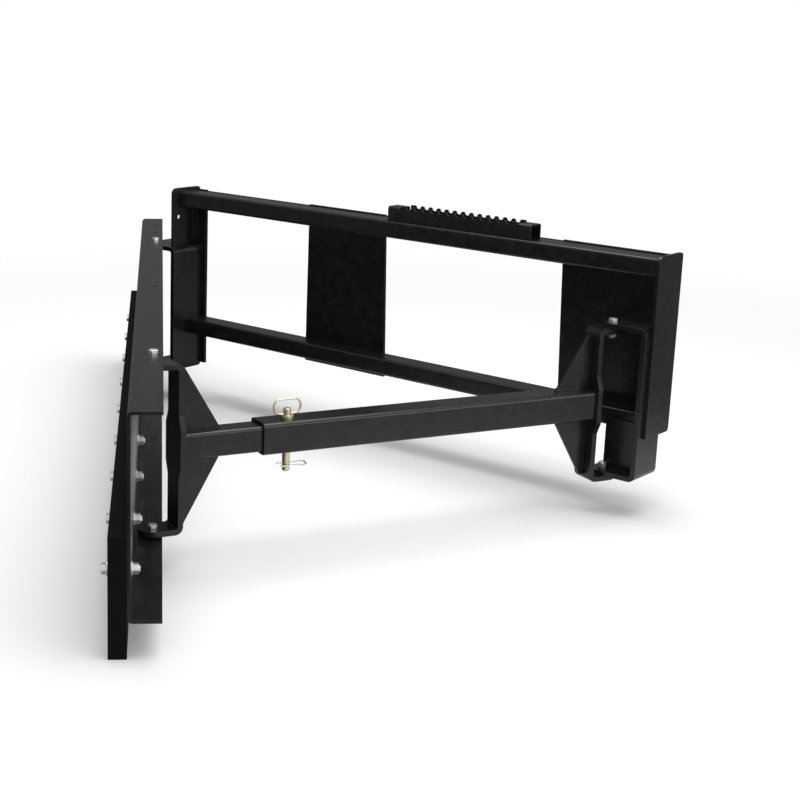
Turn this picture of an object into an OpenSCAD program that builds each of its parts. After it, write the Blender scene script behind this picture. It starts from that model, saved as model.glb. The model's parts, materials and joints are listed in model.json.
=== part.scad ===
// Feed pusher attachment for a loader: an angled steel channel with a rubber scraper strip,
// hinged on a welded coupler frame and held at its angle by a telescoping brace with a hitch pin.
// Millimetres. The origin is midway between the two latch slots, on the latch bar's top face.
// +Z is up, +Y points to the loader and -Y points forward, to the feed.

/* [Frame rails] */
// Width over the two end plates
frame_w = 1160; // [1000:10:1400]
// Depth of both rails, front to back
rail_depth = 51; // [40:1:60]
// Height of both rails
rail_h = 33; // [25:1:40]
// Wall of both rails
rail_wall = 4.8; // [3:0.1:6]
// Corner radius of both rails
rail_r = 5.5; // [5:0.1:8]
// Underside of the top rail
top_rail_z = 278; // [240:1:300]
// Underside of the bottom rail
bottom_rail_z = 4; // [1:1:20]

/* [Coupler plates] */
// Thickness of the three coupler plates
plate_t = 6; // [4:0.5:10]
// Height of the coupler plates above the top rail
plate_rise = 2; // [0:0.5:3]
// Depth of the centre plate below the bottom rail's underside
plate_drop = 17; // [14:1:40]
// Depth of the right plate below the bottom rail's underside
right_plate_drop = 6; // [2:1:17]
// Lean of the upright edges on both sides of the middle opening
edge_lean = 2; // [0:0.1:4]
// Width of the left plate
left_plate_w = 30.5; // [24:0.5:60]
// Reach of the left plate's flange in front of the plates
left_flange = 18; // [10:1:40]
// Depth of the left plate below the bottom rail's underside
left_plate_drop = 74; // [20:1:80]
// Width of the centre plate at half its height
center_plate_w = 200; // [120:1:260]
// Distance of the centre plate's middle from the frame's middle, to the left
center_plate_off = 152.5; // [0:0.5:200]
// Width of the right plate at half its height
right_plate_w = 220.5; // [150:0.5:260]
// Thickness of the small plate that ties the right bracket to the bottom rail
tie_t = 5; // [3:0.5:5]
// Width of the tie plate
tie_w = 71; // [50:1:74]
// Height of the tie plate's top above the bottom rail's underside
tie_up = 15; // [8:1:24]

/* [End plates] */
// Thickness of the end plates
end_t = 6; // [4:0.5:10]
// Reach of the end plates in front of the rails
end_front = 19; // [5:1:30]
// Reach of the end plates behind the coupler plates
end_back = 7; // [4:1:20]
// Height of the end plates above the top rail
end_rise = 7; // [4:1:20]
// Depth of the end plates below the bottom rail
end_drop = 6; // [2:1:30]
// Radius of the end plates' back corners
end_r = 7; // [3:1:16]
// Radius of the end plates' upper front corner
end_front_r = 12; // [4:1:18]
// Hole in the left end plate
side_hole_d = 11; // [6:0.5:16]
// Distance of the side hole below the top rail
side_hole_fall = 22; // [15:1:40]

/* [Step] */
// Length of the step tread
step_l = 323; // [310:1:360]
// Left end of the step tread from the frame's middle
step_x = -16.5; // [-60:0.5:60]
// Width of the step tread
step_w = 34.5; // [28:0.5:44]
// Height of the step tread at its ends
step_h = 28; // [22:1:40]
// Sheet thickness of the step tread
step_t = 3; // [2:0.5:4]
// Bend radius on the outside of the step tread
step_r = 5; // [4.5:0.5:8]
// Distance of the tread from the rail's front face
step_in = 5; // [1:0.5:6]
// Length of the closed top at each end
step_top_l = 27.5; // [15:0.5:40]
// Width of the slits beside the closed tops
slit_w = 3.5; // [2:0.5:6]
// Pitch of the teeth
tooth_pitch = 18.8; // [14:0.1:19]
// Number of valleys between the teeth
valleys = 13; // [6:1:13]
// Diameter of a valley
valley_d = 12; // [8:0.5:13]
// Height of the teeth above the closed tops
tooth_rise = 2.5; // [0:0.5:4]
// Rounding of the teeth
tooth_r = 1.8; // [0.5:0.1:2]

/* [Loader side] */
// Depth of the latch bar
latch_d = 56; // [50:1:90]
// Thickness of the latch bar
latch_t = 8; // [5:0.5:12]
// Distance of the latch bar's and the hook lip's ends from the frame's ends
loader_in = 28; // [15:1:40]
// Distance of the latch slots' middles from the frame's ends
slot_in = 100; // [80:1:140]
// Length of a latch slot
slot_l = 70; // [50:1:80]
// Width of a latch slot
slot_w = 32; // [20:1:38]
// Thickness of the hook lip
lip_t = 8; // [5:0.5:10]
// Reach of the hook lip down its slope
lip_l = 55; // [30:1:80]
// Slope of the hook lip below level
lip_a = 45; // [35:1:60]
// Height of the lip's root below the coupler plates' top
lip_fall = 2; // [1:0.5:8]

/* [Brackets] */
// Thickness of the bracket and yoke plate
ear_t = 9; // [6:0.5:12]
// Bend radius on the outside of brackets and yokes
ear_r = 13; // [13:0.5:16]
// Room under the brackets' lower ears, for the blade channel's flange and a spacer
ear_room = 13.7; // [12.5:0.1:19]
// Distance of the pivots in front of the rails
pivot_out = 14; // [14:1:30]
// Distance of the left pivot outside the frame's end
left_pivot_out = 52; // [48:1:60]
// Distance from a pivot to the bracket web's outer face
bracket_reach = 77; // [73:1:90]
// Front edge of the brackets in front of the pivots
bracket_front = 22; // [17:1:23]
// Reach of the bracket ears beyond the pivots
bracket_side = 18; // [14:0.5:20]
// Size of the cut front corner of the bracket ears
ear_cut = 24; // [12:1:24]
// Back edge of the right bracket's web behind its pivot
right_back = 54.5; // [30:0.5:60]
// Distance from a pivot to the yoke web's outer face
yoke_reach = 42; // [38:1:60]
// Width of a yoke at its ears
yoke_w = 46; // [38:1:48]
// Width of a yoke's web beside the tube
yoke_wide = 64; // [58:1:68]
// Height of the wide part of a yoke's web
wide_h = 62; // [56:1:80]
// Height over the sloping shoulders of the wide part
shoulder_h = 102; // [84:1:120]

/* [Blade] */
// Angle of the blade behind the frame's line at rest
blade_a = 44.8; // [44:0.1:46]
// Height of the blade channel
blade_h = 298; // [296:1:310]
// Top of the blade channel above the latch bar
blade_top = 200; // [196:1:206]
// Depth of the blade channel over its flanges
blade_d = 48; // [44:1:50]
// Sheet thickness of the blade channel
blade_t = 5; // [4:0.5:6]
// Bend radius on the outside of the blade channel
blade_r = 8; // [7:0.5:10]
// Distance from the line of holes to the channel web's front face
blade_web = 33; // [32:0.5:34]
// Distance between the two pivots on the blade
blade_span = 1099; // [1090:1:1110]
// Length of the blade beyond the left pivot
blade_far = 326; // [320:1:340]
// Length of the blade beyond the brace's pivot
blade_near = 342; // [330:1:360]
// Pitch of the five adjustment holes
adjust_pitch = 111; // [80:1:120]
// Distance from the left pivot to the blade's middle hole
middle_hole = 549; // [480:1:600]
// Thickness of the rubber strip
rubber_t = 26; // [20:1:32]
// Height of the rubber strip
rubber_h = 176; // [160:1:190]
// Depth of the rubber strip below the channel
rubber_drop = 52; // [40:1:60]
// Height of the row of bolts above the channel's bottom
bolt_row = 65; // [50:1:80]
// Number of bolts in the row
bolt_n = 9; // [5:1:9]
// Distance of the end bolts from the ends of the blade
bolt_end = 39.5; // [30:0.5:60]

/* [Brace] */
// Width of the inner tube
inner_w = 41.6; // [38:0.1:44]
// Wall of the inner tube
inner_wall = 4; // [3:0.5:5]
// Corner radius of the inner tube
inner_r = 5; // [4.5:0.5:7]
// Wall of the outer tube
outer_wall = 4.7; // [3:0.1:5.5]
// Corner radius of the outer tube
outer_r = 6; // [5.8:0.1:8]
// Running gap between the two tubes
tube_gap = 0.3; // [0.2:0.1:0.6]
// Distance from the blade's pivot to the outer tube's mouth
mouth = 176; // [174:1:180]
// Distance from the blade's pivot to the inner tube's hidden end
inner_end = 520; // [480:1:560]
// Height of the tubes' axis above the latch bar
brace_z = 51.6; // [44:0.2:56]
// Thickness of the gussets
gusset_t = 6; // [4:0.5:8]
// Reach of the gussets along the tubes
gusset_l = 61; // [40:1:66]
// Distance of the gussets' tips from the ends of a yoke
gusset_in = 11; // [10:1:24]
// Width of a gusset's tip on the yoke
gusset_tip = 8; // [4:1:12]

/* [Hitch pin] */
// Distance from the blade's pivot to the hitch pin
pin_at = 226.7; // [224:0.1:230]
// Diameter of the hitch pin
pin_d = 12.7; // [10:0.1:13]
// Length of the hitch pin below its collar
pin_l = 88.4; // [85:0.2:95]
// Diameter of the collar
collar_d = 22; // [18:0.5:26]
// Thickness of the collar
collar_t = 4.6; // [3:0.1:5]
// Height of the head above the collar
head_h = 11.5; // [8:0.5:14]
// Wire diameter of the bail
bail_d = 3.2; // [2.5:0.1:3.5]
// Width of the bail, centre to centre of its wire
bail_w = 46.8; // [40:0.2:52]
// Height of the bail, centre to centre of its wire
bail_h = 24; // [22:0.5:30]
// Corner radius of the bail, at the middle of its wire
bail_r = 11; // [8:0.5:11]
// Height of the clip above the hitch pin's tip
clip_up = 13.5; // [10:0.5:16]
// Wire diameter of the clip
clip_d = 2.4; // [2:0.1:2.6]
// Travel of the brace out of its rest length
brace_out = 80; // [60:1:90]
// Travel of the brace into the outer tube
brace_in = 40; // [20:1:41]

/* [Fasteners] */
// Diameter of the pivot bolts
pivot_d = 9.5; // [8:0.5:11]
// Width across the flats of pivot bolt heads and nuts
pivot_af = 14.3; // [13:0.1:17]
// Height of a pivot bolt's head
pivot_head = 5.5; // [4:0.5:8]
// Height of the low head under the brace's lower yoke ear
low_head = 4; // [3:0.5:6]
// Height of a pivot nut
pivot_nut = 8.3; // [6:0.1:10]
// Thread showing past a nut
tip = 2.5; // [1:0.5:4]
// Outside diameter of the spacers
spacer_d = 22; // [18:0.5:24]
// Diameter of the blade's bolts
bolt_d = 9.5; // [8:0.5:10]
// Width across the flats of the blade's bolts and nuts
bolt_af = 14.3; // [13:0.1:17]
// Height of the blade bolts' heads
bolt_head = 8; // [5:0.5:9]
// Height of the blade's nuts
bolt_nut = 8.3; // [6:0.1:9]
// Diameter of the washers
washer_d = 21; // [18:0.5:25]
// Thickness of the washers
washer_t = 2; // [1.5:0.1:3]

/* [Hidden] */

$fn = 64;
slide_gap = 0.3;
fit_gap = 0.1;
thread_gap = 0.05;
weld_gap = 0.2;
loose_gap = 2;
clip_gap = 0.1;
bail_gap = 0.6;
half_w = frame_w / 2;
inside = half_w - end_t;
plate_back = -latch_d / 2;
rail_back = plate_back - plate_t;
rail_front = rail_back - rail_depth;
rail_top = top_rail_z + rail_h;
plate_top = rail_top + plate_rise;
plate_mid = (bottom_rail_z + rail_top) / 2;
pivot_y = rail_front - pivot_out;
pin_a = [-half_w - left_pivot_out, pivot_y];
pin_c = [inside - bracket_reach, pivot_y];
pin_b = pin_a + blade_span * [cos(blade_a), -sin(blade_a)];
brace = pin_c - pin_b;
brace_l = norm(brace);
brace_a = atan2(brace[1], brace[0]);
web_a = pin_a[0] + bracket_reach;
blade_bot = blade_top - blade_h;
ear_h = blade_h - 2 * blade_t - slide_gap - ear_room;
plate_reach = rail_back - pivot_y;
bracket_top = blade_top - blade_t - slide_gap;
bracket_bot = bracket_top - ear_h;
yoke_top = bracket_top - ear_t - slide_gap;
yoke_bot = yoke_top - ear_h;
blade_l = blade_far + blade_span + blade_near;
blade_back = blade_d - blade_web;
rubber_bot = blade_bot - rubber_drop;
rubber_face = blade_web + rubber_t;
bolt_z = blade_bot + bolt_row;
bolt_pitch = (blade_l - 2 * bolt_end) / (bolt_n - 1);
outer_w = inner_w + 2 * (tube_gap + outer_wall);
collar_z = brace_z + outer_w / 2 + slide_gap;
bail_z = collar_z + collar_t + bail_d / 2 + bail_gap;
clip_z = collar_z - pin_l + clip_up;
clip_tilt = 20;
clip_ring = ceil(10 * ((pin_d + clip_d) / 2 / cos(clip_tilt) + clip_gap)) / 10;
step_top = rail_top + step_h;
tooth_top = step_top + tooth_rise;
loader_w = frame_w - 2 * loader_in;
latch_spacing = frame_w - 2 * slot_in;
hex_k = 1 / cos(30);

// Sheet bent into a channel: web outside at x = 0, legs to +x, height along y
module bent_block(depth, height, r) {
  translate([r, 0])
    square([depth - r, height]);
  translate([0, r])
    square([2 * r, height - 2 * r]);
  for (y = [r, height - r])
    translate([r, y])
      circle(r);
}

module c_profile(depth, height, t, r) {
  difference() {
    bent_block(depth, height, r);
    translate([t, t])
      bent_block(depth, height - 2 * t, r - t);
  }
}

module round_rect(w, h, r) {
  square([w - 2 * r, h], center = true);
  square([w, h - 2 * r], center = true);
  for (x = [-1, 1], y = [-1, 1])
    translate([x * (w / 2 - r), y * (h / 2 - r)])
      circle(r);
}

module tube_profile(w, h, wall, r) {
  difference() {
    round_rect(w, h, r);
    round_rect(w - 2 * wall, h - 2 * wall, max(r - wall, 0.5));
  }
}

// Hexagon with a flat side along y
module hexagon(af, h) {
  cylinder(d = af * hex_k, h = h, $fn = 6);
}

// Nut standing on z = 0
module nut(d, af, h) {
  difference() {
    intersection() {
      hexagon(af, h);
      translate([0, 0, -af * 0.18])
        cylinder(d1 = af * 0.74, d2 = af * 0.74 + 2 * (h + af * 0.36), h = h + af * 0.36);
      translate([0, 0, -af * 0.18])
        cylinder(d2 = af * 0.74, d1 = af * 0.74 + 2 * (h + af * 0.36), h = h + af * 0.36);
    }
    translate([0, 0, -1])
      cylinder(d = d + 2 * thread_gap, h = h + 2);
  }
}

// Bolt with its head's underside on z = 0 and its shank pointing down
module bolt(d, af, head, shank) {
  intersection() {
    hexagon(af, head);
    translate([0, 0, -af * 0.02])
      cylinder(d2 = af * 0.9, d1 = af * 0.9 + 4 * (head + af * 0.02), h = head + af * 0.02);
  }
  translate([0, 0, -shank + 1])
    cylinder(d = d, h = shank);
  translate([0, 0, -shank])
    cylinder(d1 = d - 2, d2 = d, h = 1);
}

module rail(length) {
  translate([0, rail_back - rail_depth / 2, 0])
    rotate([90, 0, 90])
      linear_extrude(length)
        translate([0, rail_h / 2])
          tube_profile(rail_depth, rail_h, rail_wall, rail_r);
}

module top_rail() {
  color("#1b1c1e")
    translate([-inside, 0, top_rail_z])
      rail(2 * inside);
}

module bottom_rail() {
  color("#1b1c1e")
    translate([web_a, 0, bottom_rail_z])
      rail(inside - ear_t - web_a);
}

// Coupler plate with its front on the rails' backs, cut to the outline [x, z]
module coupler_plate(outline) {
  translate([0, rail_back + plate_t, 0])
    rotate([90, 0, 0])
      linear_extrude(plate_t)
        polygon(outline);
}

// Sideways shift of a leaning edge at height z
function lean(z) = (plate_mid - z) * tan(edge_lean);

module left_plate() {
  bottom = bottom_rail_z - left_plate_drop;
  flange_z = bracket_top + ear_t;
  color("#1b1c1e")
    union() {
      translate([-inside, rail_back, bottom])
        cube([left_plate_w, plate_t, plate_top - bottom]);
      translate([-inside, rail_back - left_flange, flange_z])
        cube([plate_t, left_flange + plate_t, top_rail_z - flange_z]);
    }
}

module center_plate() {
  bottom = bottom_rail_z - plate_drop;
  left = -center_plate_off - center_plate_w / 2;
  right = left + center_plate_w;
  color("#1b1c1e")
    coupler_plate([
      [left, bottom],
      [right + lean(bottom), bottom],
      [right + lean(plate_top), plate_top],
      [left, plate_top]
    ]);
}

module right_plate() {
  bottom = bottom_rail_z - right_plate_drop;
  left = inside - right_plate_w;
  color("#1b1c1e")
    coupler_plate([
      [left + lean(bottom), bottom],
      [inside, bottom],
      [inside, plate_top],
      [left + lean(plate_top), plate_top]
    ]);
}

// Small plate on the bottom rail's front that closes the right bracket's lower half
module bracket_plate() {
  right = inside - ear_t;
  bottom = bracket_bot + ear_t;
  corner = ear_r - ear_t + 1;
  color("#1b1c1e")
    translate([0, rail_front, 0])
      rotate([90, 0, 0])
        linear_extrude(tie_t)
          polygon([
            [right - tie_w, bottom],
            [right - corner, bottom],
            [right, bottom + corner],
            [right, bottom_rail_z + tie_up],
            [right - tie_w, bottom_rail_z + tie_up]
          ]);
}

// Rectangle from [0, 0] to [w, h] with a radius for each corner, from the origin round
module corner_plate(w, h, r) {
  polygon([
    [r[0], 0], [w - r[1], 0],
    [w, r[1]], [w, h - r[2]],
    [w - r[2], h], [r[3], h],
    [0, h - r[3]], [0, r[0]]
  ]);
  translate([r[0], r[0]])
    circle(r[0]);
  translate([w - r[1], r[1]])
    circle(r[1]);
  translate([w - r[2], h - r[2]])
    circle(r[2]);
  translate([r[3], h - r[3]])
    circle(r[3]);
}

module end_plate() {
  front = rail_front - end_front;
  low = bottom_rail_z - end_drop;
  rotate([90, 0, 90])
    linear_extrude(end_t)
      translate([front, low])
        corner_plate(plate_back + end_back - front, rail_top + end_rise - low, [1, end_r, end_r, end_front_r]);
}

module left_end_plate() {
  color("#1b1c1e")
    difference() {
      translate([-half_w, 0, 0])
        end_plate();
      translate([-half_w - 1, rail_front - end_front - 1, bracket_top - ear_t - weld_gap])
        cube([end_t + 2, end_front + rail_depth + 1 + weld_gap, ear_t + 2 * weld_gap]);
      translate([-half_w - 1, rail_front, top_rail_z - side_hole_fall])
        rotate([0, 90, 0])
          cylinder(d = side_hole_d, h = end_t + 2);
    }
}

module right_end_plate() {
  color("#1b1c1e")
    translate([inside, 0, 0])
      end_plate();
}

// Toothed top edge of the step's walls, from the closed top's left end, in [x, z]
module teeth(open_l, base) {
  tip_w = tooth_pitch - 2 * sqrt(pow(valley_d / 2, 2) - pow(tooth_r, 2));
  first = (open_l - (valleys - 1) * tooth_pitch) / 2;
  end_w = first - slit_w - tooth_pitch / 2 + tip_w / 2;
  difference() {
    union() {
      translate([slit_w, base])
        square([open_l - 2 * slit_w, tooth_top - tooth_r - base]);
      for (i = [0 : valleys - 2])
        translate([first + (i + 0.5) * tooth_pitch - tip_w / 2, 0])
          tooth_tip(tip_w);
      for (x = [slit_w, open_l - slit_w - end_w])
        translate([x, 0])
          tooth_tip(end_w);
    }
    for (i = [0 : valleys - 1])
      translate([first + i * tooth_pitch, tooth_top])
        circle(d = valley_d);
  }
}

// Rounded tip of a tooth, from the height where its rounding starts
module tooth_tip(w) {
  translate([0, tooth_top - 2 * tooth_r])
    square([w, tooth_r]);
  translate([tooth_r, tooth_top - 2 * tooth_r])
    square([w - 2 * tooth_r, 2 * tooth_r]);
  for (x = [tooth_r, w - tooth_r])
    translate([x, tooth_top - tooth_r])
      circle(tooth_r);
}

module step_tread() {
  y0 = rail_front + step_in;
  wall_top = step_top - step_r;
  open_l = step_l - 2 * step_top_l;
  color("#1b1c1e")
    union() {
      difference() {
        translate([step_x, y0 + step_w / 2, step_top])
          rotate([90, 0, 90])
            linear_extrude(step_l)
              rotate(-90)
                translate([0, -step_w / 2])
                  c_profile(step_h, step_w, step_t, step_r);
        translate([step_x + step_top_l, y0 - 1, wall_top])
          cube([open_l, step_w + 2, 2 * step_r]);
        for (x = [step_top_l, step_l - step_top_l - slit_w])
          translate([step_x + x, y0 - 1, wall_top - slit_w])
            cube([slit_w, step_w + 2, step_r]);
      }
      for (y = [y0 + step_t, y0 + step_w])
        translate([step_x + step_top_l, y, 0])
          rotate([90, 0, 0])
            linear_extrude(step_t)
              teeth(open_l, wall_top);
    }
}

module hook_lip() {
  color("#1b1c1e")
    difference() {
      translate([-loader_w / 2, plate_back, plate_top - lip_fall])
        rotate([-lip_a, 0, 0])
          translate([0, -lip_t, -lip_t])
            cube([loader_w, lip_l + lip_t, lip_t]);
      translate([-loader_w / 2 - 1, plate_back - 3 * lip_t, plate_top - 4 * lip_t])
        cube([loader_w + 2, 3 * lip_t, 6 * lip_t]);
    }
}

module latch_bar() {
  color("#1b1c1e")
    difference() {
      translate([-loader_w / 2, plate_back, -latch_t])
        cube([loader_w, latch_d, latch_t]);
      for (x = [-1, 1])
        translate([x * latch_spacing / 2, 0, -latch_t - 1])
          linear_extrude(latch_t + 2) {
            square([slot_l - slot_w, slot_w], center = true);
            for (s = [-1, 1])
              translate([s * (slot_l - slot_w) / 2, 0])
                circle(d = slot_w);
          }
    }
}

// Bent bracket about its pivot at x = y = 0, web to +x, lower end at z = 0
module bracket() {
  difference() {
    intersection() {
      translate([bracket_reach, plate_reach, 0])
        rotate([90, 0, 0])
          linear_extrude(plate_reach + bracket_front)
            mirror([1, 0])
              c_profile(bracket_reach + bracket_side, ear_h, ear_t, ear_r);
      linear_extrude(ear_h)
        polygon([
          [-bracket_side, ear_cut - bracket_front],
          [ear_cut - bracket_side, -bracket_front],
          [bracket_reach, -bracket_front],
          [bracket_reach, plate_reach],
          [-bracket_side, plate_reach]
        ]);
    }
    translate([0, 0, -1])
      cylinder(d = pivot_d + 2 * fit_gap, h = ear_h + 2);
  }
}

module left_bracket() {
  color("#1b1c1e")
    translate([pin_a[0], pin_a[1], bracket_bot])
      bracket();
}

module right_bracket() {
  color("#1b1c1e")
    translate([pin_c[0], pin_c[1], bracket_bot])
      difference() {
        bracket();
        translate([bracket_reach - ear_r, right_back, -1])
          cube([ear_r + 1, plate_reach, ear_h + 2]);
      }
}

// Places its children at the left pivot with +x along the blade and +y to the frame
module at_blade() {
  translate([pin_a[0], pin_a[1], 0])
    rotate(-blade_a)
      children();
}

// Places its children at the blade's brace pivot with +x along the brace
module at_brace() {
  translate([pin_b[0], pin_b[1], 0])
    rotate(brace_a)
      children();
}

// Places its children at the frame's brace pivot with +x along the brace, to the blade
module at_frame_end() {
  translate([pin_c[0], pin_c[1], 0])
    rotate(brace_a + 180)
      children();
}

module blade_channel() {
  holes = [-2 * adjust_pitch, -adjust_pitch, 0, adjust_pitch, 2 * adjust_pitch, middle_hole, blade_span];
  color("#1b1c1e")
    at_blade()
      difference() {
        translate([-blade_far, -blade_web, blade_bot])
          rotate([90, 0, 90])
            linear_extrude(blade_l)
              c_profile(blade_d, blade_h, blade_t, blade_r);
        for (s = holes)
          translate([s, 0, blade_bot - 1])
            cylinder(d = pivot_d + 2 * fit_gap, h = blade_h + 2);
        for (i = [0 : bolt_n - 1])
          translate([-blade_far + bolt_end + i * bolt_pitch, -blade_web - 1, bolt_z])
            rotate([-90, 0, 0])
              cylinder(d = bolt_d + 2 * fit_gap, h = blade_t + 2);
      }
}

module rubber_strip() {
  color("#121212")
    at_blade()
      difference() {
        translate([-blade_far, -rubber_face, rubber_bot])
          cube([blade_l, rubber_t, rubber_h]);
        for (i = [0 : bolt_n - 1])
          translate([-blade_far + bolt_end + i * bolt_pitch, -rubber_face - 1, bolt_z])
            rotate([-90, 0, 0])
              cylinder(d = bolt_d + 2 * fit_gap, h = rubber_t + 2);
      }
}

// Places its children at each bolt of the blade with +z to the front
module at_bolts(y) {
  at_blade()
    for (i = [0 : bolt_n - 1])
      translate([-blade_far + bolt_end + i * bolt_pitch, y, bolt_z])
        rotate([90, 0, 0])
          children();
}

module blade_bolts() {
  color("#b9bcc0")
    at_bolts(-rubber_face - washer_t)
      bolt(bolt_d, bolt_af, bolt_head, rubber_t + blade_t + 2 * washer_t + bolt_nut + tip);
}

module blade_washers() {
  color("#b9bcc0")
    for (y = [-rubber_face, -blade_web + blade_t + washer_t])
      at_bolts(y)
        difference() {
          cylinder(d = washer_d, h = washer_t);
          translate([0, 0, -1])
            cylinder(d = bolt_d + 0.8, h = washer_t + 2);
        }
}

module blade_nuts() {
  color("#b9bcc0")
    at_bolts(-blade_web + blade_t + washer_t + bolt_nut)
      nut(bolt_d, bolt_af, bolt_nut);
}

// Yoke about its pivot at x = y = 0, web to +x, lower end at z = 0
module yoke(hole) {
  mid = brace_z - yoke_bot;
  difference() {
    union() {
      intersection() {
        translate([yoke_reach, yoke_w / 2, 0])
          rotate([90, 0, 0])
            linear_extrude(yoke_w)
              mirror([1, 0])
                c_profile(yoke_reach + yoke_w / 2, ear_h, ear_t, ear_r);
        linear_extrude(ear_h)
          union() {
            circle(d = yoke_w);
            translate([0, -yoke_w / 2])
              square([yoke_reach, yoke_w]);
          }
      }
      translate([yoke_reach - ear_t, 0, mid])
        rotate([90, 0, 90])
          linear_extrude(ear_t)
            polygon([
              [-yoke_w / 2, -shoulder_h / 2],
              [yoke_w / 2, -shoulder_h / 2],
              [yoke_wide / 2, -wide_h / 2],
              [yoke_wide / 2, wide_h / 2],
              [yoke_w / 2, shoulder_h / 2],
              [-yoke_w / 2, shoulder_h / 2],
              [-yoke_wide / 2, wide_h / 2],
              [-yoke_wide / 2, -wide_h / 2]
            ]);
    }
    translate([0, 0, -1])
      cylinder(d = hole, h = ear_h + 2);
  }
}

// Gusset in the brace's upright middle plane, from a yoke's web to a tube's face at z
module gusset(z, tip_z) {
  rotate([90, 0, 0])
    translate([0, 0, -gusset_t / 2])
      linear_extrude(gusset_t)
        polygon([
          [yoke_reach, z],
          [yoke_reach + gusset_l + gusset_tip, z],
          [yoke_reach + gusset_tip, tip_z],
          [yoke_reach, tip_z]
        ]);
}

module inner_yoke() {
  color("#1b1c1e")
    at_brace()
      translate([0, 0, yoke_bot])
        yoke(pivot_d + 2 * loose_gap);
}

module outer_yoke() {
  color("#1b1c1e")
    at_frame_end()
      translate([0, 0, yoke_bot])
        yoke(pivot_d + 2 * fit_gap);
}

module inner_upper_gusset() {
  color("#1b1c1e")
    at_brace()
      gusset(brace_z + inner_w / 2, yoke_top - gusset_in);
}

module inner_lower_gusset() {
  color("#1b1c1e")
    at_brace()
      gusset(brace_z - inner_w / 2, yoke_bot + gusset_in);
}

module outer_upper_gusset() {
  color("#1b1c1e")
    at_frame_end()
      gusset(brace_z + outer_w / 2, yoke_top - gusset_in);
}

module outer_lower_gusset() {
  color("#1b1c1e")
    at_frame_end()
      gusset(brace_z - outer_w / 2, yoke_bot + gusset_in);
}

module inner_tube() {
  slot_gap = 0.3;
  slot_0 = pin_at - brace_in;
  slot_1 = pin_at + brace_out;
  slot_r = pin_d / 2 + slot_gap;
  color("#1b1c1e")
    at_brace()
      difference() {
        translate([yoke_reach, 0, brace_z])
          rotate([90, 0, 90])
            linear_extrude(inner_end - yoke_reach)
              tube_profile(inner_w, inner_w, inner_wall, inner_r);
        translate([0, 0, brace_z - inner_w])
          linear_extrude(2 * inner_w)
            union() {
              translate([slot_0, -slot_r])
                square([slot_1 - slot_0, 2 * slot_r]);
              for (x = [slot_0, slot_1])
                translate([x, 0])
                  circle(slot_r);
            }
      }
}

module outer_tube() {
  color("#1b1c1e")
    at_brace()
      difference() {
        translate([mouth, 0, brace_z])
          rotate([90, 0, 90])
            linear_extrude(brace_l - yoke_reach - mouth)
              tube_profile(outer_w, outer_w, outer_wall, outer_r);
        translate([pin_at, 0, brace_z - outer_w])
          cylinder(d = pin_d + 2 * fit_gap, h = 2 * outer_w);
      }
}

module hitch_pin() {
  color("#b39a55")
    at_brace()
      translate([pin_at, 0, 0])
        difference() {
          union() {
            translate([0, 0, collar_z - pin_l + 2])
              cylinder(d = pin_d, h = pin_l - 2);
            translate([0, 0, collar_z - pin_l])
              cylinder(d1 = pin_d - 4, d2 = pin_d, h = 2);
            translate([0, 0, collar_z])
              cylinder(d = collar_d, h = collar_t);
            translate([0, 0, collar_z + collar_t])
              cylinder(d = pin_d, h = head_h - 1);
            translate([0, 0, collar_z + collar_t + head_h - 1])
              cylinder(d1 = pin_d, d2 = pin_d - 2, h = 1);
          }
          translate([-pin_d, 0, bail_z])
            rotate([0, 90, 0])
              cylinder(d = bail_d + 2 * fit_gap, h = 2 * pin_d);
          translate([-pin_d, 0, clip_z])
            rotate([0, 90, 0])
              cylinder(d = clip_d + 2 * fit_gap, h = 2 * pin_d);
        }
}

module wire(d, length) {
  rotate([0, 90, 0])
    cylinder(d = d, h = length);
}

module bend(d, r, from, turn) {
  rotate([0, 0, from])
    rotate_extrude(angle = turn)
      translate([r, 0])
        circle(d = d);
}

module pin_bail() {
  x = bail_w / 2 - bail_r;
  color("#b39a55")
    at_brace()
      translate([pin_at, 0, bail_z])
        rotate([90, 0, 0])
          union() {
            for (y = [0, bail_h])
              translate([-x, y, 0])
                wire(bail_d, 2 * x);
            for (s = [-1, 1])
              translate([s * bail_w / 2, bail_r, 0])
                rotate([0, 0, 90])
                  wire(bail_d, bail_h - 2 * bail_r);
            translate([x, bail_r, 0])
              bend(bail_d, bail_r, -90, 90);
            translate([x, bail_h - bail_r, 0])
              bend(bail_d, bail_r, 0, 90);
            translate([-x, bail_h - bail_r, 0])
              bend(bail_d, bail_r, 90, 90);
            translate([-x, bail_r, 0])
              bend(bail_d, bail_r, 180, 90);
          }
}

// Wire clip through the pin; the dip in its free leg is two arcs of a 3-4-5 triangle's angle
module r_clip() {
  bow_x = 27.4;
  bow_r = 5.2;
  flat = 4;
  turn = acos(4 / 5);
  curve_r = (2 * bow_r - clip_ring) / (2 - 2 * 4 / 5);
  x1 = bow_x - flat;
  x2 = x1 - 2 * curve_r * 3 / 5;
  color("#b9bcc0")
    at_brace()
      translate([pin_at, 0, clip_z])
        rotate([clip_tilt, 0, 0])
          union() {
            translate([-17, 0, 0])
              wire(clip_d, 17 + bow_x);
            translate([bow_x, -bow_r, 0])
              bend(clip_d, bow_r, -90, 180);
            translate([x1, -2 * bow_r, 0])
              wire(clip_d, flat);
            translate([x1, curve_r - 2 * bow_r, 0])
              bend(clip_d, curve_r, -90 - turn, turn);
            translate([x2, -clip_ring - curve_r, 0])
              bend(clip_d, curve_r, 90 - turn, turn);
            translate([-13, -clip_ring, 0])
              wire(clip_d, 13 + x2);
          }
}

module spacer(h, d) {
  difference() {
    cylinder(d = d, h = h);
    translate([0, 0, -1])
      cylinder(d = pivot_d + 2 * fit_gap, h = h + 2);
  }
}

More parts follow.
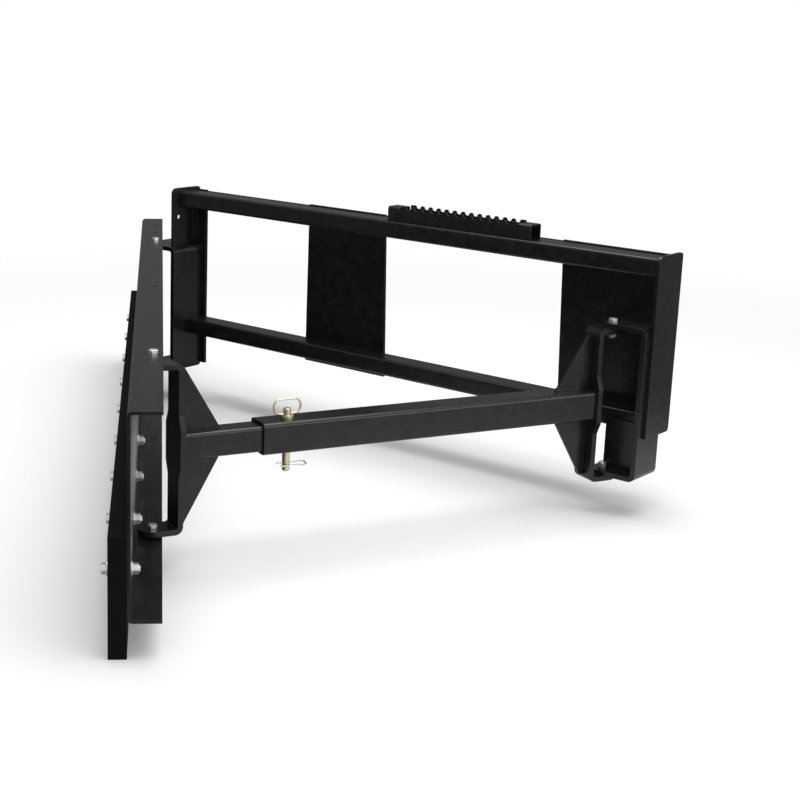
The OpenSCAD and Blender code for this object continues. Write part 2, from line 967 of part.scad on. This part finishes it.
// Bolts that hang the blade on the left bracket and on the brace's inner yoke
module blade_pivot_bolts() {
  color("#b9bcc0")
    union() {
      for (p = [[pin_a, bracket_top - ear_t], [pin_b, yoke_top - ear_t]])
        translate([p[0][0], p[0][1], blade_top])
          bolt(pivot_d, pivot_af, pivot_head, blade_top - p[1] + slide_gap + pivot_nut + tip);
      for (p = [[pin_a, bracket_bot + ear_t], [pin_b, yoke_bot + ear_t]])
        translate([p[0][0], p[0][1], p[1] + slide_gap])
          bolt(pivot_d, pivot_af, pivot_head, p[1] + slide_gap - blade_bot + pivot_nut + tip);
    }
}

module blade_pivot_nuts() {
  color("#b9bcc0")
    union() {
      for (p = [[pin_a, bracket_top - ear_t], [pin_b, yoke_top - ear_t]])
        translate([p[0][0], p[0][1], p[1] - slide_gap - pivot_nut])
          nut(pivot_d, pivot_af, pivot_nut);
      for (p = [pin_a, pin_b])
        translate([p[0], p[1], blade_bot - pivot_nut])
          nut(pivot_d, pivot_af, pivot_nut);
    }
}

module pivot_spacers() {
  floor_z = blade_bot + blade_t;
  color("#1b1c1e")
    union() {
      translate([pin_a[0], pin_a[1], floor_z])
        spacer(bracket_bot - slide_gap - floor_z, spacer_d);
      translate([pin_b[0], pin_b[1], floor_z])
        spacer(yoke_bot - slide_gap - floor_z, spacer_d);
      translate([pin_b[0], pin_b[1], yoke_top + slide_gap])
        spacer(blade_top - blade_t - yoke_top - slide_gap, spacer_d);
    }
}

// Bolts that hang the brace's outer yoke in the right bracket
module frame_pivot_bolts() {
  color("#b9bcc0")
    union() {
      translate([pin_c[0], pin_c[1], bracket_top])
        bolt(pivot_d, pivot_af, pivot_head, bracket_top - yoke_top + ear_t + slide_gap + pivot_nut + tip);
      translate([pin_c[0], pin_c[1], yoke_bot - slide_gap])
        mirror([0, 0, 1])
          bolt(pivot_d, pivot_af, low_head, bracket_bot + ear_t - yoke_bot + 2 * slide_gap + pivot_nut + tip);
    }
}

module frame_pivot_nuts() {
  color("#b9bcc0")
    for (z = [yoke_top - ear_t - slide_gap - pivot_nut, bracket_bot + ear_t + slide_gap])
      translate([pin_c[0], pin_c[1], z])
        nut(pivot_d, pivot_af, pivot_nut);
}

top_rail();
bottom_rail();
left_plate();
center_plate();
right_plate();
left_end_plate();
right_end_plate();
step_tread();
hook_lip();
latch_bar();
left_bracket();
right_bracket();
bracket_plate();
blade_channel();
rubber_strip();
blade_bolts();
blade_washers();
blade_nuts();
inner_yoke();
inner_upper_gusset();
inner_lower_gusset();
inner_tube();
outer_tube();
outer_yoke();
outer_upper_gusset();
outer_lower_gusset();
hitch_pin();
pin_bail();
r_clip();
blade_pivot_bolts();
blade_pivot_nuts();
pivot_spacers();
frame_pivot_bolts();
frame_pivot_nuts();
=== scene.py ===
import json
import math

import bpy
from mathutils import Matrix, Vector


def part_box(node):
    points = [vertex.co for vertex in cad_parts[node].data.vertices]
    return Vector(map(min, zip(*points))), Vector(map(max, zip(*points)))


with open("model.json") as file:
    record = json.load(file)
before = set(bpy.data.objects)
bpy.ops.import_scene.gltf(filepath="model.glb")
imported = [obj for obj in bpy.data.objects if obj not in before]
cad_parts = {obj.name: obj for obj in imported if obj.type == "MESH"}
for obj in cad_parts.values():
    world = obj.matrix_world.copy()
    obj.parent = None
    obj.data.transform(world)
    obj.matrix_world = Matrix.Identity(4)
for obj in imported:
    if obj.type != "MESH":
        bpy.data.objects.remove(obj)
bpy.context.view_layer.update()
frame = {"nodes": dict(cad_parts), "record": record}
nodes = frame["nodes"]
print("frame loaded,", len(nodes), "nodes")


# camera: fitted to the photograph's pivots, rails and blade
cameraSet = {
    "place": (1.8288, -2.5302, 0.7424),  # metres
    "pitch": 14.5443, "yaw": 39.966, "roll": 1.6161,  # degrees
    "lens": 71.578, "sensor": 36,  # millimetres
    "shiftX": 0.125, "clipEnd": 50,
}


def turned(degrees, axis):
    return Matrix.Rotation(math.radians(degrees), 4, axis)


def makeCamera(c):
    data = bpy.data.cameras.new("camera")
    data.lens = c["lens"]
    data.sensor_width = c["sensor"]
    data.shift_x = c["shiftX"]
    data.clip_end = c["clipEnd"]
    camera = bpy.data.objects.new("camera", data)
    turn = turned(c["yaw"], "Z") @ turned(90 - c["pitch"], "X") @ turned(c["roll"], "Z")
    camera.matrix_world = Matrix.Translation(c["place"]) @ turn
    bpy.context.collection.objects.link(camera)
    bpy.context.scene.camera = camera


makeCamera(cameraSet)
print("camera set")


# shader maths: one socket with Python's operators

class Sock:
    def __init__(self, tree, out):
        self.tree = tree
        self.out = out

    def maths(self, operation, a, b):
        node = self.tree.nodes.new("ShaderNodeMath")
        node.operation = operation
        for slot, value in zip(node.inputs, (a, b)):
            if isinstance(value, Sock):
                self.tree.links.new(value.out, slot)
            else:
                slot.default_value = value
        return Sock(self.tree, node.outputs[0])

    def __add__(self, other): return self.maths("ADD", self, other)
    def __radd__(self, other): return self.maths("ADD", other, self)
    def __sub__(self, other): return self.maths("SUBTRACT", self, other)
    def __rsub__(self, other): return self.maths("SUBTRACT", other, self)
    def __mul__(self, other): return self.maths("MULTIPLY", self, other)
    def __rmul__(self, other): return self.maths("MULTIPLY", other, self)


class NodeTree:
    # the nodes of a material or the world; add() makes any node, its sockets go by name or number
    def __init__(self, tree, endKind):
        self.tree = tree
        tree.nodes.clear()
        self.end = tree.nodes.new(endKind)

    def add(self, kind, settings=None, sockets=None, out=0):
        node = self.tree.nodes.new(kind)
        for name, value in (settings or {}).items():
            if name == "stops":
                for stop, (place, shade) in zip(node.color_ramp.elements, value):
                    stop.position = place
                    stop.color = (shade, shade, shade, 1)
            else:
                setattr(node, name, value)
        for key, value in (sockets or {}).items():
            self.put(node.inputs[key], value)
        return Sock(self.tree, node.outputs[out])

    def put(self, slot, value):
        if isinstance(value, Sock):
            self.tree.links.new(value.out, slot)
        elif slot.type == "RGBA" and len(value) == 3:
            slot.default_value = (*value, 1)
        else:
            slot.default_value = value

    def show(self, shade):
        self.put(self.end.inputs["Surface"], shade)

    def place(self):
        return self.add("ShaderNodeTexCoord", out="Object")

    def noise(self, size, detail=3, rough=0.5, stretch=None):
        coords = self.place()
        if stretch:
            coords = self.add("ShaderNodeVectorMath", {"operation": "MULTIPLY"}, {0: coords, 1: stretch})
        return self.add("ShaderNodeTexNoise", None, {
            "Vector": coords, "Scale": 1 / size, "Detail": detail, "Roughness": rough})

    def ramp(self, value, ends):
        black, white = ends
        return self.add("ShaderNodeValToRGB", {"stops": ((black, 0), (white, 1))}, {"Fac": value})

    def blend(self, share, first, second):
        return self.add("ShaderNodeMix", {"data_type": "RGBA"}, {0: share, 6: first, 7: second}, out=2)

    def measure(self, operation, *vectors):
        return self.add("ShaderNodeVectorMath", {"operation": operation},
                        dict(enumerate(vectors)), out="Value")

    def smooth(self, value, start, stop, first, last):
        return self.add("ShaderNodeMapRange", {"interpolation_type": "SMOOTHSTEP"},
                        {0: value, 1: start, 2: stop, 3: first, 4: last})


class Finish(NodeTree):
    # a material with a Principled shader
    def __init__(self, name):
        self.material = bpy.data.materials.new(name)
        self.material.use_nodes = True
        super().__init__(self.material.node_tree, "ShaderNodeOutputMaterial")
        self.shade = self.add("ShaderNodeBsdfPrincipled")
        self.show(self.shade)

    def set(self, sockets):
        for name, value in sockets.items():
            self.put(self.shade.out.node.inputs[name], value)

    def relief(self, height, depth, strength, edge):
        rounded = self.add("ShaderNodeBevel", {"samples": 6}, {"Radius": edge})
        self.set({"Normal": self.add("ShaderNodeBump", None, {
            "Height": height, "Distance": depth, "Strength": strength, "Normal": rounded})})


paint = {
    "deep": (0.0056, 0.0057, 0.0061), "light": (0.0072, 0.0073, 0.0077), "rubbed": (0.03, 0.03, 0.031),
    "cloud": 0.16, "patch": 0.02, "grain": 0.004, "peel": 0.0014, "dust": 0.0006,  # sizes in metres
    "cloudEnds": (0.3, 0.7), "patchEnds": (0.4, 0.65), "dustEnds": (0.66, 0.78), "rubEnds": (0.52, 0.6),
    "wear": 0.35, "nibs": 0.03,  # how far rubbed edges and dust nibs go to the rubbed colour
    "rough": 0.26, "vary": 0.03, "specular": 0.42,
    "depth": 0.00006, "strength": 0.25, "edge": 0.0012,
}


def powderCoat(name):
    # baked black powder: orange peel, faint clouding, sparse dust nibs, paler rubbed edges
    f = Finish(name)
    cloud = f.ramp(f.noise(paint["cloud"], 1), paint["cloudEnds"])
    nibs = f.ramp(f.noise(paint["dust"], 2), paint["dustEnds"])
    rub = f.ramp(f.add("ShaderNodeNewGeometry", out="Pointiness"), paint["rubEnds"])
    patch = f.ramp(f.noise(paint["patch"], 5, 0.7), paint["patchEnds"])
    colour = f.blend(cloud, paint["deep"], paint["light"])
    vary = paint["vary"]
    f.set({
        "Base Color": f.blend(rub * patch * paint["wear"] + nibs * paint["nibs"], colour, paint["rubbed"]),
        "Roughness": paint["rough"] + cloud * vary + f.noise(paint["grain"]) * vary - rub * vary,
        "Specular IOR Level": paint["specular"],
    })
    f.relief(f.noise(paint["peel"], 2) * 0.7 + nibs * 0.4, paint["depth"], paint["strength"], paint["edge"])
    return f.material


rubberSet = {
    "deep": (0.0028, 0.0028, 0.003), "bloom": (0.0062, 0.0062, 0.0064),
    "patch": 0.07, "mould": 0.012, "grain": 0.0012,  # sizes in metres
    "bloomEnds": (0.42, 0.72), "rough": 0.74, "vary": 0.08, "specular": 0.12,
    "depth": 0.00015, "strength": 0.6, "edge": 0.0016,
}


def scraperRubber(name):
    # moulded sheet rubber: dull, with bloom in patches, long moulding streaks and a fine grain
    f = Finish(name)
    streak = f.noise(rubberSet["mould"], 3, 0.6, (1, 1, 6))
    bloom = f.ramp(f.noise(rubberSet["patch"], 5, 0.65), rubberSet["bloomEnds"])
    grain = f.noise(rubberSet["grain"], 3, 0.7)
    f.set({
        "Base Color": f.blend(bloom * 0.6 + streak * 0.25, rubberSet["deep"], rubberSet["bloom"]),
        "Roughness": rubberSet["rough"] + bloom * rubberSet["vary"] + grain * rubberSet["vary"],
        "Specular IOR Level": rubberSet["specular"],
    })
    f.relief(grain * 0.6 + streak * 0.4, rubberSet["depth"], rubberSet["strength"], rubberSet["edge"])
    return f.material


brightPlate = {"pale": (0.9, 0.9, 0.91), "warm": (0.74, 0.75, 0.77), "rough": 0.24, "blotch": 0.008}
yellowPlate = {"pale": (0.76, 0.67, 0.41), "warm": (0.66, 0.6, 0.46), "rough": 0.22, "blotch": 0.005}
plateSet = {
    "cloudEnds": (0.35, 0.68), "metal": 0.8, "line": 0.0006, "pit": 0.0016,
    "depth": 0.00006, "strength": 0.5, "edge": 0.0004,
}


def platedSteel(name, p):
    # zinc plate: cloudy crystals, a second tint in patches, fine wire-drawn lines round the surface
    f = Finish(name)
    cloud = f.ramp(f.noise(p["blotch"], 4, 0.6), plateSet["cloudEnds"])
    lines = f.noise(plateSet["line"], 2, 0.5, (1, 1, 9))
    f.set({
        "Base Color": f.blend(cloud, p["pale"], p["warm"]),
        "Metallic": plateSet["metal"] + cloud * 0.1,
        "Roughness": p["rough"] + cloud * 0.1 + lines * 0.08,
    })
    f.relief(lines * 0.6 + f.noise(plateSet["pit"], 2) * 0.4,
             plateSet["depth"], plateSet["strength"], plateSet["edge"])
    return f.material


finishes = {
    "black_paint": powderCoat("powderCoat"),
    "rubber": scraperRubber("scraperRubber"),
    "zinc": platedSteel("brightZinc", brightPlate),
    "yellow_zinc": platedSteel("yellowZinc", yellowPlate),
}
print("finishes made")

slotOf = {row["node"]: row["material_slot"] for row in frame["record"]["subparts"]}
for name, piece in nodes.items():
    piece.data.materials.clear()
    piece.data.materials.append(finishes[slotOf[name]])


# floor and light
room = {
    "floorHalf": 14, "floorZ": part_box("rubber_strip")[0].z - 0.0005, "white": (0.88, 0.88, 0.88),
    # the floor as reflections and bounce light see it: a painted pool of light, pale near its middle and
    # dimming outwards, in metres from its middle
    "paintedPool": 0.64, "dim": 0.08, "paintedPoolAt": (0.4, -0.4, 0), "paintedPoolNear": 0.5, "paintedPoolFar": 1.25,
    # the floor as the camera sees it: metres where it starts to fade and has faded to white
    "fade": 0.1, "near": 0.9, "far": 2.6,
    "glossShare": 0.06,  # how much of the white backdrop shows in reflections
    # the sky is brighter towards one side
    "skyLow": 0.12, "skySpan": 0.75, "skyFrom": (0.75, -0.25, 0.6), "skyEnds": (-0.3, 0.9),
}


def seenShare(f, r):
    # camera rays see the white backdrop, and reflections see a share of it
    camera, glossy, through = [f.add("ShaderNodeLightPath", out="Is " + kind + " Ray")
                               for kind in ("Camera", "Glossy", "Transmission")]
    return camera + (glossy + through) * r["glossShare"]


def makeFloor(r):
    mesh = bpy.data.meshes.new("floor")
    h = r["floorHalf"]
    mesh.from_pydata([(-h, -h, 0), (h, -h, 0), (h, h, 0), (-h, h, 0)], [], [(0, 1, 2, 3)])
    floor = bpy.data.objects.new("floor", mesh)
    floor.location.z = r["floorZ"]
    bpy.context.collection.objects.link(floor)
    f = Finish("paleFloor")
    seen = seenShare(f, r)
    aside = f.measure("DISTANCE", f.place(), r["paintedPoolAt"])
    # painted pool of light: the floor's colour for reflection and bounce rays, bright near the object and
    # dim further out
    paintedPool = f.smooth(aside, r["paintedPoolNear"], r["paintedPoolFar"], r["paintedPool"], r["dim"])
    f.set({"Base Color": f.blend(seen, paintedPool, r["white"]), "Roughness": 0.9, "Specular IOR Level": 0})
    fade = f.smooth(f.measure("LENGTH", f.place()), r["near"], r["far"], r["fade"], 1)
    glow = f.add("ShaderNodeEmission", None, {"Color": (1, 1, 1)})
    f.show(f.add("ShaderNodeMixShader", None, {0: fade * seen, 1: f.shade, 2: glow}))
    mesh.materials.append(f.material)


def makeSky(r):
    world = bpy.data.worlds.new("studio")
    bpy.context.scene.world = world
    world.use_nodes = True
    f = NodeTree(world.node_tree, "ShaderNodeOutputWorld")
    side = f.measure("DOT_PRODUCT", f.add("ShaderNodeTexCoord", out="Generated"), r["skyFrom"])
    soft = f.smooth(side, *r["skyEnds"], r["skyLow"], r["skyLow"] + r["skySpan"])
    share = seenShare(f, r)
    f.show(f.add("ShaderNodeBackground", None, {"Color": (1, 1, 1), "Strength": share + (1 - share) * soft}))


softBoxes = {  # metres and watts
    "topBox": {"place": (0.1, -0.1, 3.0), "aim": (0, -0.4, 0), "size": (3.4, 2.2), "power": 92},
    "lowBox": {"place": (3.2, -0.4, 0.4), "aim": (0.3, -0.4, 0.05), "size": (2.2, 1.0), "power": 21},
}


def softBox(name, b):
    data = bpy.data.lights.new(name, "AREA")
    data.shape = "RECTANGLE"
    data.size, data.size_y = b["size"]
    data.energy = b["power"]
    lamp = bpy.data.objects.new(name, data)
    lamp.location = b["place"]
    lamp.rotation_euler = (Vector(b["aim"]) - Vector(b["place"])).to_track_quat("-Z", "Y").to_euler()
    bpy.context.collection.objects.link(lamp)


makeFloor(room)
makeSky(room)
for name, box in softBoxes.items():
    softBox(name, box)
print("stage lit")

bpy.context.scene.view_settings.view_transform = "Standard"
